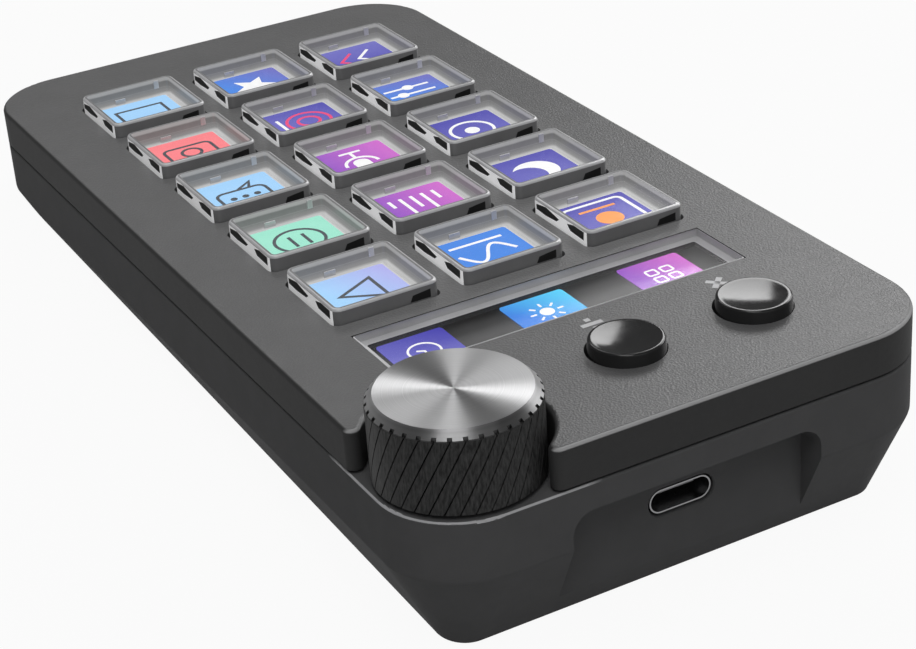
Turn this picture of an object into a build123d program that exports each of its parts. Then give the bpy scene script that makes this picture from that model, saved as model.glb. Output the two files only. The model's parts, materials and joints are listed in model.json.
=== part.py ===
from build123d import *
import os
from math import cos, radians, sin, tan

# Stream controller with clear display keys, two round buttons and a push knob, in millimetres.
# Pieces are laid out on the deck, the sloping top face of the cover: x runs to the user's right, y to the
# rear, from the middle key, and depths count down from the deck. The frame's origin lies on the desk, under
# the middle of the case.

# Keys
key_pitch = 19.05
key_rows = 5
column_names = ("left", "middle", "right")
cap_width = 15.3
cap_length = 15.1
cap_height = 2.15
cap_wall = 1.2
cap_corner = 1.0
cap_edge = 0.4
cap_skirt = 4.2
cap_gap = 0.3
cap_travel = 1.2
cap_lip = 0.9
cap_lip_length = 6.0
cap_lip_thickness = 0.8
cap_lip_gap = 0.25

# Displays under the keys, and the rubber mat round them
display_depth = 1.2
display_thickness = 1.4
display_bezel = 0.2
holder_gap = 0.3
mat_thickness = 0.8
mat_margin = 0.7
collar_height = 1.1
press_room = 0.1

# Strip window and the bar display below it
strip_gap = 3.65
strip_width = 52.4
strip_length = 11.2
strip_depth = 3.05
strip_display_thickness = 2.0
strip_display_length = 12.9
window_thickness = 1.2
window_seat = 1.0
window_gap = 0.1
part_gap = 0.5

# Round buttons and their switches
button_offset = 11.75
button_radius = 5.0
button_taper = 0.15
button_gap = 0.2
button_height = 1.75
button_edge = 0.3
button_dish = 0.25
button_dish_radius = 4.4
button_travel = 0.5
button_flange = 0.9
button_flange_thickness = 0.8
button_flange_gap = 0.3
switch_size = 6.0
plunger_radius = 1.7
plunger_length = 1.6
plunger_gap = 0.1
plunger_rise = 0.8

# Knob
knob_radius = 10.5
knob_height = 5.5
knob_disc_radius = 9.45
knob_disc_band = 0.2
knob_disc_chamfer = 1.0
knob_gap = 0.65
knob_travel = 0.5
knob_rim = 0.5
knob_hollow_radius = 7.6
knob_roof = 4.0
groove_count = 36
groove_depth = 0.45
groove_width = 0.2
groove_twist = 30.0
groove_steps = 7
groove_overrun = 0.55
disc_notch_width = 0.6
disc_notch_depth = 0.3
notch_gap = 0.95
notch_lip = 1.15

# Encoder under the knob
shaft_radius = 3.0
shaft_gap = 0.05
shaft_flat = 1.2
shaft_grip = 5.0
bush_radius = 3.5
bush_rise = 3.5
washer_radius = 5.4
washer_thickness = 0.5
nut_flats = 10.0
nut_sides = 6
nut_thickness = 2.0
encoder_size = 11.4
encoder_corner = 2.0
encoder_roof = 1.5
encoder_floor = 0.8
rotor_radius = 4.1
rotor_thickness = 1.0
rotor_gap = 0.3
rotor_tail = 1.2
push_radius = 2.0
push_room = 0.3

# Case
side_margin = 10.8
front_margin = 16.35
rear_margin = 15.75
cover_plate = 2.0
cover_depth = 5.55
cover_edge = 0.6
seam_gap = 0.4
case_wall = 2.0
case_floor = 2.0
case_edge = 0.35
seam_lip = 1.0
seam_tongue_gap = 0.2
seam_tongue_height = 1.9
front_thickness = 12.4
wedge_angle = 5.5
crease_depth = 14.3
crease_radius = 1.2
flare_angle = 25.4
base_corner = 2.3
ledge_thickness = 2.0
ledge_margin = 0.6
bush_hole_gap = 0.1

# USB socket and its recess in the rear face
usb_width = 8.94
usb_height = 3.26
usb_length = 7.35
usb_wall = 0.2
usb_depth = 15.3
usb_hole_gap = 0.3
usb_hole_edge = 0.15
bevel_angle = 45.0
usb_setback = 0.3
contact_width = 6.7
contact_thickness = 0.7
contact_length = 5.0
recess_width = 35.8
recess_top = 9.6
recess_corner = 3.0
recess_depth = 4.2

# Boards
board_thickness = 1.6
board_gap = 0.6
main_board_reach = 36.0
main_board_left = 22.0
processor_size = 10.0
processor_thickness = 1.2
link_length = 22.0
link_width = 4.4
link_plug_height = 3.0

# Screws, their bosses and posts
screw_radius = 1.0
screw_gap = 0.05
screw_hole_gap = 0.2
screw_bite = 4.0
head_radius = 1.9
head_height = 1.2
head_gap = 0.4
boss_radius = 2.2
case_boss_radius = 2.8
post_radius = 3.6
post_plate = 2.0
post_gap = 0.1
post_depth = 8.5
standoff_radius = 2.4
case_screw_inset = 6.5
case_screw_front = 9.0
case_screw_rear = 10.5
case_screw_side = 10.0
standoff_inset = 4.0
standoff_right = 13.25
post_bearing = 45.0

# Feet
foot_length = 14.0
foot_width = 7.0
foot_corner = 2.3
foot_stand = 0.8
foot_recess = 0.6
foot_inset = 5.0

# Plan of the deck
columns = len(column_names)
field_width = (columns - 1) * key_pitch + cap_width
field_rear = ((key_rows - 1) * key_pitch + cap_length) / 2
case_width = field_width + 2 * side_margin
half_width = case_width / 2
strip_front = field_rear + strip_gap
strip_rear = strip_front + strip_length
button_y = strip_rear + button_offset
case_front = -field_rear - front_margin
case_rear = button_y + rear_margin
case_length = case_rear - case_front
case_middle = (case_rear + case_front) / 2
corner_radius = knob_radius + knob_rim
knob_x = half_width - corner_radius
knob_y = case_rear - corner_radius
notch_radius = knob_radius + notch_gap
cover_corner_radius = notch_radius + case_wall

# Depths below the deck
rim_depth = cover_depth + seam_gap
board_depth = cap_skirt + cap_travel + press_room + collar_height + mat_thickness
board_back = board_depth + board_thickness
main_board_depth = usb_depth + usb_height / 2
main_board_back = main_board_depth + board_thickness
knob_base = rim_depth - knob_gap
ledge_back = rim_depth + ledge_thickness
deepest = front_thickness + case_length * tan(radians(wedge_angle)) + case_floor

# The deck's plane, set so that the case's underside is level and its box is centred on the origin
tilt = radians(wedge_angle)
deck_height = foot_stand - case_front * sin(tilt) + front_thickness * cos(tilt)
deck_shift = -(case_front + case_rear) / 2 * cos(tilt) - crease_depth / 2 * sin(tilt)
deck = Plane(origin=(0, deck_shift, deck_height), x_dir=(1, 0, 0), z_dir=(0, -sin(tilt), cos(tilt)))
deck_axis = Axis(deck.origin, deck.z_dir)
underside = Plane.XY.offset(foot_stand)
rear_face = Plane(origin=deck.from_local_coords((0, case_rear, 0)), x_dir=(-1, 0, 0), z_dir=deck.y_dir)


def level(depth):
    """Plane parallel to the deck, at a depth below it"""
    return deck.offset(-depth)


def section_at(x, y):
    """Upright plane through a point of the deck, for profiles turned about that point"""
    return Plane(origin=deck.from_local_coords((x, y, 0)), x_dir=deck.x_dir, z_dir=-deck.y_dir)


def axis_at(x, y):
    """Axis square to the deck through one of its points"""
    return Axis(deck.from_local_coords((x, y, 0)), deck.z_dir)


def case_outline(inset=0.0, mode=Mode.ADD):
    """Plan of the case, drawn in from its walls"""
    with Locations((0, case_middle)):
        RectangleRounded(case_width - 2 * inset, case_length - 2 * inset, corner_radius - inset, mode=mode)


def knob_circle(radius, mode=Mode.ADD):
    """Circle about the knob's axis, on the deck"""
    with Locations((knob_x, knob_y)):
        Circle(radius, mode=mode)


def key_grid():
    """Centres of the keys on the deck"""
    return GridLocations(key_pitch, key_pitch, columns, key_rows)


def boss_grid():
    """Points between four keys, where the key board is screwed to the cover"""
    return GridLocations(key_pitch, key_pitch, columns - 1, key_rows - 1)


def save(piece, name):
    """Label a finished piece and write it"""
    piece.part.label = name
    export_step(piece.part, f"parts/{name}.step")


os.makedirs("parts", exist_ok=True)

# Places of the buttons and of the screws, on the deck
ledge_radius = cover_corner_radius + ledge_margin
knob_post_reach = (ledge_radius + post_radius + board_gap) * cos(radians(post_bearing))
button_places = {"left": (-key_pitch, button_y), "centre": (0, button_y)}
case_screw_places = [
    (half_width - case_screw_inset, case_front + case_screw_front),
    (case_screw_inset - half_width, case_front + case_screw_front),
    (case_screw_side - half_width, case_rear - case_screw_rear),
    (knob_x - knob_post_reach, knob_y - knob_post_reach),
]
board_rear = case_rear - recess_depth - case_wall - part_gap
board_front = board_rear - main_board_reach
main_board_inset = case_wall + (main_board_back - crease_depth) * tan(radians(flare_angle)) + board_gap
main_board_right = half_width - main_board_inset
standoff_places = [
    (standoff_inset - main_board_left, board_front + standoff_inset),
    (main_board_right - standoff_inset, board_front + standoff_inset),
    (standoff_inset - main_board_left, board_rear - standoff_inset),
    (standoff_right, board_rear - standoff_inset),
]


def recess_wall_clearance():
    """Take the space of the wall behind the USB recess out of a board's plan"""
    with Locations((0, board_rear)):
        Rectangle(
            recess_width + 2 * case_wall + 2 * part_gap,
            case_rear - board_rear,
            align=(Align.CENTER, Align.MIN),
            mode=Mode.SUBTRACT,
        )


# Top cover
boss_length = board_depth - cover_plate
case_boss_length = post_depth - post_gap - cover_plate
with BuildPart() as top_cover:
    with BuildSketch(level(0)) as cover_plan:
        case_outline()
        knob_circle(notch_radius, mode=Mode.SUBTRACT)
        fillet(cover_plan.vertices().group_by(Axis.X)[-1].sort_by(Axis.Y)[-1], notch_lip)
        fillet(cover_plan.vertices().group_by(Axis.Y)[-1].sort_by(Axis.X)[-1], notch_lip)
    extrude(amount=-cover_depth)
    fillet(top_cover.faces().sort_by(deck_axis)[-1].outer_wire().edges(), cover_edge)
    with BuildSketch(level(cover_plate)):
        case_outline(case_wall)
        knob_circle(cover_corner_radius, mode=Mode.SUBTRACT)
    extrude(amount=cover_plate - cover_depth, mode=Mode.SUBTRACT)
    with BuildSketch(level(cover_depth - seam_tongue_height)):
        case_outline(seam_lip)
        knob_circle(cover_corner_radius, mode=Mode.SUBTRACT)
    extrude(amount=-seam_tongue_height, mode=Mode.SUBTRACT)
    with BuildSketch(level(0)):
        with key_grid():
            RectangleRounded(cap_width + 2 * cap_gap, cap_length + 2 * cap_gap, cap_corner + cap_gap)
        with Locations((0, (strip_front + strip_rear) / 2)):
            Rectangle(strip_width - 2 * window_seat, strip_length - 2 * window_seat)
        with Locations(*button_places.values()):
            Circle(button_radius + button_gap)
    extrude(amount=-cover_plate, mode=Mode.SUBTRACT)
    with BuildSketch(level(0)):
        with Locations((0, (strip_front + strip_rear) / 2)):
            Rectangle(strip_width + 2 * window_gap, strip_length + 2 * window_gap)
    extrude(amount=-window_thickness, mode=Mode.SUBTRACT)
    with BuildSketch(level(cover_plate)):
        with boss_grid():
            Circle(boss_radius)
    extrude(amount=-boss_length)
    with BuildSketch(level(cover_plate)):
        with Locations(*case_screw_places):
            Circle(case_boss_radius)
    extrude(amount=-case_boss_length)
    with BuildSketch(level(board_depth)):
        with boss_grid():
            Circle(screw_radius + screw_gap)
    extrude(amount=screw_bite + part_gap, mode=Mode.SUBTRACT)
    with BuildSketch(level(post_depth)):
        with Locations(*case_screw_places):
            Circle(screw_radius + screw_gap)
    extrude(amount=screw_bite + part_gap, mode=Mode.SUBTRACT)
save(top_cover, "top_cover")

# Space inside the bottom case, less the ledge, posts and standoffs that stand in it
flare_depth = deepest - crease_depth
with BuildPart() as cavity:
    with BuildSketch(level(rim_depth - seam_tongue_height)):
        case_outline(case_wall)
    extrude(amount=rim_depth - seam_tongue_height - crease_depth)
    with BuildSketch(level(crease_depth)):
        case_outline(case_wall)
    extrude(amount=-flare_depth, taper=flare_angle)
    split(bisect_by=underside.offset(case_floor), keep=Keep.TOP)
    with BuildSketch(level(rim_depth)):
        knob_circle(ledge_radius)
    extrude(amount=-ledge_thickness, mode=Mode.SUBTRACT)
    with BuildSketch(rear_face.offset(-recess_depth - case_wall)):
        with Locations((0, case_wall - recess_top)):
            Rectangle(recess_width + 2 * case_wall, deepest, align=(Align.CENTER, Align.MAX))
    extrude(amount=recess_depth + case_wall, mode=Mode.SUBTRACT)
    with BuildSketch(level(post_depth)):
        with Locations(*case_screw_places):
            Circle(post_radius)
    extrude(amount=-deepest, mode=Mode.SUBTRACT)
    with BuildSketch(level(main_board_back)):
        with Locations(*standoff_places):
            Circle(standoff_radius)
    extrude(amount=-deepest, mode=Mode.SUBTRACT)

# Bottom case
usb_hole_width = usb_width + 2 * usb_hole_gap
usb_hole_height = usb_height + 2 * usb_hole_gap
head_depth = post_depth + post_plate
foot_front = deck.from_local_coords((0, case_front, -front_thickness)).Y + foot_inset + foot_width / 2
base_inset = flare_depth * tan(radians(flare_angle))
underside_rear = rear_face.from_local_coords((0, -deepest, 0)).Y - base_inset
foot_rear = underside_rear - foot_inset - foot_width / 2
foot_x = half_width - base_inset - foot_inset - foot_length / 2
foot_places = [(side * foot_x, y) for side in (-1, 1) for y in (foot_front, foot_rear)]
with BuildPart() as bottom_case:
    with BuildSketch(level(rim_depth)):
        case_outline()
    extrude(amount=rim_depth - crease_depth)
    with BuildSketch(level(crease_depth)):
        case_outline()
    with BuildSketch(level(deepest)):
        with Locations((0, case_middle)):
            RectangleRounded(case_width - 2 * base_inset, case_length - 2 * base_inset, base_corner)
    loft(ruled=True)
    fillet(bottom_case.faces().sort_by(deck_axis)[-1].outer_wire().edges(), case_edge)
    fillet(bottom_case.edges().filter_by(level(crease_depth)), crease_radius)
    split(bisect_by=underside, keep=Keep.TOP)
    add(cavity.part, mode=Mode.SUBTRACT)
    with BuildSketch(level(rim_depth)):
        case_outline(seam_lip + seam_tongue_gap)
        case_outline(case_wall, mode=Mode.SUBTRACT)
        knob_circle(ledge_radius, mode=Mode.SUBTRACT)
    extrude(amount=seam_tongue_height - seam_gap)
    with BuildSketch(rear_face) as recess_front:
        with Locations((0, -recess_top)):
            Rectangle(recess_width, deepest, align=(Align.CENTER, Align.MAX))
        fillet(recess_front.vertices().group_by(Axis.Y)[-1], recess_corner)
    extrude(amount=-recess_depth, mode=Mode.SUBTRACT)
    with BuildSketch(rear_face):
        with Locations((0, -usb_depth)):
            SlotOverall(usb_hole_width, usb_hole_height)
    extrude(amount=-recess_depth - 2 * case_wall, mode=Mode.SUBTRACT)
    with BuildSketch(rear_face.offset(-recess_depth)):
        with Locations((0, -usb_depth)):
            SlotOverall(usb_hole_width + 2 * usb_hole_edge, usb_hole_height + 2 * usb_hole_edge)
    extrude(amount=-usb_hole_edge, taper=bevel_angle, mode=Mode.SUBTRACT)
    with BuildSketch(level(rim_depth)):
        knob_circle(bush_radius + bush_hole_gap)
    extrude(amount=-ledge_thickness, mode=Mode.SUBTRACT)
    with BuildSketch(level(post_depth)):
        with Locations(*case_screw_places):
            Circle(screw_radius + screw_hole_gap)
    extrude(amount=-deepest, mode=Mode.SUBTRACT)
    with BuildSketch(level(head_depth)):
        with Locations(*case_screw_places):
            Circle(head_radius + head_gap)
    extrude(amount=-deepest, mode=Mode.SUBTRACT)
    with BuildSketch(level(main_board_back)):
        with Locations(*standoff_places):
            Circle(screw_radius + screw_gap)
    extrude(amount=-screw_bite, mode=Mode.SUBTRACT)
    with BuildSketch(underside):
        with Locations(*foot_places):
            RectangleRounded(foot_length, foot_width, foot_corner)
    extrude(amount=foot_recess, mode=Mode.SUBTRACT)
save(bottom_case, "bottom_case")

# Rubber feet, glued into their recesses
with BuildPart() as rubber_feet:
    with BuildSketch(Plane.XY):
        with Locations(*foot_places):
            RectangleRounded(foot_length, foot_width, foot_corner)
    extrude(amount=foot_stand + foot_recess)
save(rubber_feet, "rubber_feet")

# Clear hollow keycaps, each held under the cover by two lips
key_left = -(columns - 1) / 2 * key_pitch
key_rear = (key_rows - 1) / 2 * key_pitch
for row in range(key_rows):
    for column, column_name in enumerate(column_names):
        key_place = (key_left + column * key_pitch, key_rear - row * key_pitch)
        with BuildPart() as keycap:
            with BuildSketch(level(-cap_height)):
                with Locations(key_place):
                    RectangleRounded(cap_width, cap_length, cap_corner)
            extrude(amount=-cap_height - cap_skirt)
            fillet(keycap.faces().sort_by(deck_axis)[-1].outer_wire().edges(), cap_edge)
            with BuildSketch(level(cover_plate + cap_lip_gap)):
                with Locations(key_place):
                    Rectangle(cap_width + 2 * cap_lip, cap_lip_length)
            extrude(amount=-cap_lip_thickness)
            with BuildSketch(level(cap_skirt)):
                with Locations(key_place):
                    Rectangle(cap_width - 2 * cap_wall, cap_length - 2 * cap_wall)
            extrude(amount=cap_skirt + cap_height - cap_wall, mode=Mode.SUBTRACT)
        save(keycap, f"keycap_row{row + 1}_{column_name}")

# Display tiles under the caps, the blocks that carry them, and the rubber mat
holder_size = min(cap_width, cap_length) - 2 * cap_wall - 2 * holder_gap
display_back = display_depth + display_thickness
with BuildPart() as key_displays:
    with BuildSketch(level(display_depth)):
        with key_grid():
            Rectangle(holder_size - 2 * display_bezel, holder_size - 2 * display_bezel)
    extrude(amount=-display_thickness)
save(key_displays, "key_displays")

with BuildPart() as display_holders:
    with BuildSketch(level(display_back)):
        with key_grid():
            Rectangle(holder_size, holder_size)
    extrude(amount=display_back - board_depth)
save(display_holders, "display_holders")

window_size = holder_size + 2 * holder_gap
with BuildPart() as silicone_mat:
    with BuildSketch(level(board_depth)):
        Rectangle(field_width + 2 * mat_margin, 2 * field_rear + 2 * mat_margin)
        with boss_grid():
            Circle(boss_radius + part_gap, mode=Mode.SUBTRACT)
    extrude(amount=mat_thickness)
    with BuildSketch(level(board_depth)):
        with key_grid():
            RectangleRounded(cap_width, cap_length, cap_corner)
    extrude(amount=mat_thickness + collar_height)
    with BuildSketch(level(board_depth)):
        with key_grid():
            Rectangle(window_size, window_size)
    extrude(amount=mat_thickness + collar_height, mode=Mode.SUBTRACT)
save(silicone_mat, "silicone_mat")

# Key board and the screws that hold it to the cover
with BuildPart() as key_board:
    with BuildSketch(level(board_depth)):
        case_outline(case_wall + board_gap)
        knob_circle(ledge_radius + board_gap, mode=Mode.SUBTRACT)
        recess_wall_clearance()
        with Locations(*case_screw_places):
            Circle(post_radius + board_gap, mode=Mode.SUBTRACT)
        with boss_grid():
            Circle(screw_radius + screw_hole_gap, mode=Mode.SUBTRACT)
    extrude(amount=-board_thickness)
save(key_board, "key_board")

with BuildPart() as board_screws:
    with BuildSketch(level(board_back)):
        with boss_grid():
            Circle(head_radius)
    extrude(amount=-head_height)
    with BuildSketch(level(board_back)):
        with boss_grid():
            Circle(screw_radius)
    extrude(amount=board_thickness + screw_bite)
save(board_screws, "board_screws")

# Clear strip window, and the bar display under it
with BuildPart() as strip_window:
    with BuildSketch(level(0)):
        with Locations((0, (strip_front + strip_rear) / 2)):
            Rectangle(strip_width, strip_length)
    extrude(amount=-window_thickness)
save(strip_window, "strip_window")

strip_display_y = field_rear + mat_margin + part_gap + strip_display_length / 2
strip_display_back = strip_depth + strip_display_thickness
with BuildPart() as strip_display:
    with BuildSketch(level(strip_depth)):
        with Locations((0, strip_display_y)):
            Rectangle(strip_width, strip_display_length)
    extrude(amount=-strip_display_thickness)
save(strip_display, "strip_display")

with BuildPart() as strip_holder:
    with BuildSketch(level(strip_display_back)):
        with Locations((0, strip_display_y)):
            Rectangle(strip_width, strip_display_length)
    extrude(amount=strip_display_back - board_depth)
save(strip_holder, "strip_holder")

# Round buttons with dished tops, each on the plunger of a switch
button_top_radius = button_radius - button_taper
flange_depth = cover_plate + button_flange_gap
flange_back = flange_depth + button_flange_thickness
plunger_top = flange_back + part_gap
for button_name, button_place in button_places.items():
    with BuildPart() as round_button:
        with BuildSketch(section_at(*button_place)):
            with BuildLine():
                dish = RadiusArc(
                    (0, button_height - button_dish),
                    (button_dish_radius, button_height),
                    (button_dish_radius**2 + button_dish**2) / (2 * button_dish),
                )
                Polyline(
                    dish @ 1,
                    (button_top_radius - button_edge, button_height),
                    (button_top_radius, button_height - button_edge),
                    (button_radius, 0),
                    (button_radius, -flange_depth),
                    (button_radius + button_flange, -flange_depth),
                    (button_radius + button_flange, -flange_back),
                    (plunger_radius, -flange_back),
                    (plunger_radius, -plunger_top),
                    (0, -plunger_top),
                    dish @ 0,
                )
            make_face()
        revolve(axis=axis_at(*button_place))
    save(round_button, f"{button_name}_button")
    with BuildPart() as plunger:
        with BuildSketch(level(plunger_top)):
            with Locations(button_place):
                Circle(plunger_radius)
        extrude(amount=-plunger_length)
    save(plunger, f"{button_name}_switch_plunger")

switch_top = plunger_top + plunger_rise
with BuildPart() as button_switches:
    with BuildSketch(level(switch_top)):
        with Locations(*button_places.values()):
            Rectangle(switch_size, switch_size)
    extrude(amount=switch_top - board_depth)
    with BuildSketch(level(switch_top)):
        with Locations(*button_places.values()):
            Circle(plunger_radius + plunger_gap)
    extrude(amount=plunger_rise - plunger_length - button_travel - press_room, mode=Mode.SUBTRACT)
save(button_switches, "button_switches")

# Knob with slanting grooves, hollow below over the encoder's nut, and the metal disc on top of it
disc_base = knob_height - knob_disc_chamfer - knob_disc_band
hollow_roof = knob_roof - knob_base


def shaft_outline(radius, flat, mode=Mode.ADD):
    """Round shaft with one flat, on the deck at the knob's axis"""
    with Locations((knob_x, knob_y)):
        Circle(radius, mode=mode)
    with Locations((knob_x + radius - flat, knob_y)):
        Rectangle(radius, 2 * radius, align=(Align.MIN, Align.CENTER), mode=Mode.SUBTRACT)


knob_body_height = knob_base + disc_base
groove_length = knob_body_height + 2 * groove_overrun
notch_turn = groove_twist * (1 - groove_overrun / groove_length)
with BuildPart() as groove_wedge:
    for step in range(groove_steps):
        share = step / (groove_steps - 1)
        groove_section = Plane.XY.offset(share * groove_length - knob_base - groove_overrun)
        with BuildSketch(groove_section.rotated((0, 0, share * groove_twist))):
            Polygon(
                (knob_radius - groove_depth, 0),
                (knob_radius + groove_depth, -groove_width),
                (knob_radius + groove_depth, groove_width),
                align=None,
            )
    loft(ruled=True)


with BuildPart() as knob_body:
    with BuildSketch(level(knob_base)):
        knob_circle(knob_radius)
    extrude(amount=knob_body_height)
    with Locations(deck.location * Location((knob_x, knob_y, 0))):
        with PolarLocations(0, groove_count):
            add(groove_wedge.part, mode=Mode.SUBTRACT)
    with BuildSketch(level(knob_base)):
        knob_circle(knob_hollow_radius)
    extrude(amount=knob_roof, mode=Mode.SUBTRACT)
    with BuildSketch(level(knob_base)):
        shaft_outline(shaft_radius + shaft_gap, shaft_flat)
    extrude(amount=knob_roof + shaft_grip + shaft_gap, mode=Mode.SUBTRACT)
save(knob_body, "knob_body")

with BuildPart() as knob_disc:
    with BuildSketch(section_at(knob_x, knob_y)):
        with BuildLine():
            Polyline(
                (0, disc_base),
                (knob_disc_radius + knob_disc_chamfer, disc_base),
                (knob_disc_radius + knob_disc_chamfer, disc_base + knob_disc_band),
                (knob_disc_radius, knob_height),
                (0, knob_height),
                close=True,
            )
        make_face()
    revolve(axis=axis_at(knob_x, knob_y))
    with BuildSketch(level(-disc_base)):
        with Locations((knob_x, knob_y)):
            with PolarLocations(knob_disc_radius + knob_disc_chamfer, groove_count, start_angle=notch_turn):
                Rectangle(2 * disc_notch_depth, disc_notch_width)
    extrude(amount=knob_disc_chamfer + knob_disc_band, mode=Mode.SUBTRACT)
save(knob_disc, "knob_disc")

# Push encoder that carries the knob: body with its bush, shaft, push plunger, washer and nut
rotor_depth = ledge_back + encoder_roof + rotor_gap
rotor_back = rotor_depth + rotor_thickness
shaft_end = rotor_back + rotor_tail
chamber_floor = main_board_depth - encoder_floor
bush_top = rim_depth - bush_rise
with BuildPart() as encoder_body:
    with BuildSketch(level(ledge_back)) as encoder_plan:
        with Locations((knob_x, knob_y)):
            Rectangle(encoder_size, encoder_size)
        chamfer(encoder_plan.vertices(), encoder_corner)
    extrude(amount=ledge_back - main_board_depth)
    with BuildSketch(level(ledge_back)):
        knob_circle(bush_radius)
    extrude(amount=ledge_back - bush_top)
    with BuildSketch(level(bush_top)):
        knob_circle(shaft_radius + shaft_gap)
    extrude(amount=bush_top - rotor_depth, mode=Mode.SUBTRACT)
    with BuildSketch(level(ledge_back + encoder_roof)):
        knob_circle(rotor_radius + rotor_gap)
    extrude(amount=ledge_back + encoder_roof - chamber_floor, mode=Mode.SUBTRACT)
save(encoder_body, "encoder_body")

with BuildPart() as encoder_shaft:
    with BuildSketch(level(shaft_end)):
        knob_circle(shaft_radius)
    extrude(amount=shaft_end + hollow_roof)
    with BuildSketch(level(-hollow_roof)):
        shaft_outline(shaft_radius, shaft_flat)
    extrude(amount=shaft_grip)
    with BuildSketch(level(rotor_back)):
        knob_circle(rotor_radius)
    extrude(amount=rotor_thickness)
save(encoder_shaft, "encoder_shaft")

with BuildPart() as encoder_plunger:
    with BuildSketch(level(shaft_end + shaft_gap)):
        knob_circle(push_radius)
    extrude(amount=shaft_end + shaft_gap - chamber_floor + knob_travel + push_room)
save(encoder_plunger, "encoder_plunger")

with BuildPart() as encoder_washer:
    with BuildSketch(level(rim_depth)):
        knob_circle(washer_radius)
        knob_circle(bush_radius + bush_hole_gap, mode=Mode.SUBTRACT)
    extrude(amount=washer_thickness)
save(encoder_washer, "encoder_washer")

with BuildPart() as encoder_nut:
    with BuildSketch(level(rim_depth - washer_thickness)):
        with Locations((knob_x, knob_y)):
            RegularPolygon(nut_flats / 2, nut_sides, major_radius=False)
        knob_circle(bush_radius + bush_hole_gap, mode=Mode.SUBTRACT)
    extrude(amount=nut_thickness)
save(encoder_nut, "encoder_nut")

# Main board, with the processor and the connector that links it to the key board
with BuildPart() as main_board:
    with BuildSketch(level(main_board_depth)):
        case_outline(main_board_inset)
        with Locations((main_board_right, board_rear)):
            Rectangle(
                main_board_right + main_board_left,
                2 * main_board_reach,
                align=(Align.MAX, Align.CENTER),
                mode=Mode.INTERSECT,
            )
        recess_wall_clearance()
        with Locations((0, board_front)):
            Rectangle(case_width, main_board_reach, align=(Align.CENTER, Align.MAX), mode=Mode.SUBTRACT)
        with Locations(*case_screw_places):
            Circle(post_radius + board_gap, mode=Mode.SUBTRACT)
        with Locations(*standoff_places):
            Circle(screw_radius + screw_hole_gap, mode=Mode.SUBTRACT)
    extrude(amount=-board_thickness)
save(main_board, "main_board")

with BuildPart() as main_board_screws:
    with BuildSketch(level(main_board_depth)):
        with Locations(*standoff_places):
            Circle(head_radius)
    extrude(amount=head_height)
    with BuildSketch(level(main_board_depth)):
        with Locations(*standoff_places):
            Circle(screw_radius)
    extrude(amount=-board_thickness - screw_bite + part_gap)
save(main_board_screws, "main_board_screws")

chip_y = board_front + main_board_reach / 2
with BuildPart() as processor:
    with BuildSketch(level(main_board_depth)):
        with Locations((0, chip_y)):
            Rectangle(processor_size, processor_size)
    extrude(amount=processor_thickness)
save(processor, "processor")

link_y = board_front + standoff_inset
link_face = board_back + link_plug_height
with BuildPart() as link_plug:
    with BuildSketch(level(board_back)):
        with Locations((0, link_y)):
            Rectangle(link_length, link_width)
    extrude(amount=-link_plug_height)
save(link_plug, "link_plug")

with BuildPart() as link_socket:
    with BuildSketch(level(link_face)):
        with Locations((0, link_y)):
            Rectangle(link_length, link_width)
    extrude(amount=link_face - main_board_depth)
save(link_socket, "link_socket")

# USB socket: steel shell and the contact tongue in it
usb_face = rear_face.offset(-recess_depth - usb_setback)
with BuildPart() as usb_shell:
    with BuildSketch(usb_face):
        with Locations((0, -usb_depth)):
            SlotOverall(usb_width, usb_height)
    extrude(amount=-usb_length)
    with BuildSketch(usb_face):
        with Locations((0, -usb_depth)):
            SlotOverall(usb_width - 2 * usb_wall, usb_height - 2 * usb_wall)
    extrude(amount=usb_wall - usb_length, mode=Mode.SUBTRACT)
save(usb_shell, "usb_shell")

with BuildPart() as usb_tongue:
    with BuildSketch(usb_face.offset(usb_wall - usb_length)):
        with Locations((0, -usb_depth)):
            Rectangle(contact_width, contact_thickness)
    extrude(amount=contact_length)
save(usb_tongue, "usb_tongue")

# Screws that draw the case to the cover
with BuildPart() as case_screws:
    with BuildSketch(level(head_depth)):
        with Locations(*case_screw_places):
            Circle(head_radius)
    extrude(amount=-head_height)
    with BuildSketch(level(head_depth)):
        with Locations(*case_screw_places):
            Circle(screw_radius)
    extrude(amount=post_plate + screw_bite)
save(case_screws, "case_screws")
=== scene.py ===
import json
from math import cos, pi, radians, sin, tau

import bmesh
import bpy
from mathutils import Matrix, Quaternion, Vector


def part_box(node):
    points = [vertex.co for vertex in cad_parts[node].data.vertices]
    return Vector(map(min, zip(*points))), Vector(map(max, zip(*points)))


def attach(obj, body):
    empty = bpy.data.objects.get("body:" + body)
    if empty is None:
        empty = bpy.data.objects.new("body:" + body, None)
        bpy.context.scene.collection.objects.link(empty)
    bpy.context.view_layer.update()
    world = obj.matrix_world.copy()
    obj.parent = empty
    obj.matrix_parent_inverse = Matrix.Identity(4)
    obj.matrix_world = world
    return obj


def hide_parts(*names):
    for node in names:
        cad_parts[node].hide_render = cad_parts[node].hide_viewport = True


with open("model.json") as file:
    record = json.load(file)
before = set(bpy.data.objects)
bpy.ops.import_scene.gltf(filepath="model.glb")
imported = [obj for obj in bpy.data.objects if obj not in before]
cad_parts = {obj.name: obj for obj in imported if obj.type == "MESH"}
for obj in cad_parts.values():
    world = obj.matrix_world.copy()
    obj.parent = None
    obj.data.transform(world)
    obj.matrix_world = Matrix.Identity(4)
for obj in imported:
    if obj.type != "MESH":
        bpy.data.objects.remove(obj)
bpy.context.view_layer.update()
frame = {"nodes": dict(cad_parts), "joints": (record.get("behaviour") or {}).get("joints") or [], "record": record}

# Looks of the stream controller. The scene is in metres. Pieces on the deck, the sloping top face, are
# drawn in millimetres in a frame of their own: x to the user's right, y to the rear, z off the deck.
MM = 0.001

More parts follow.
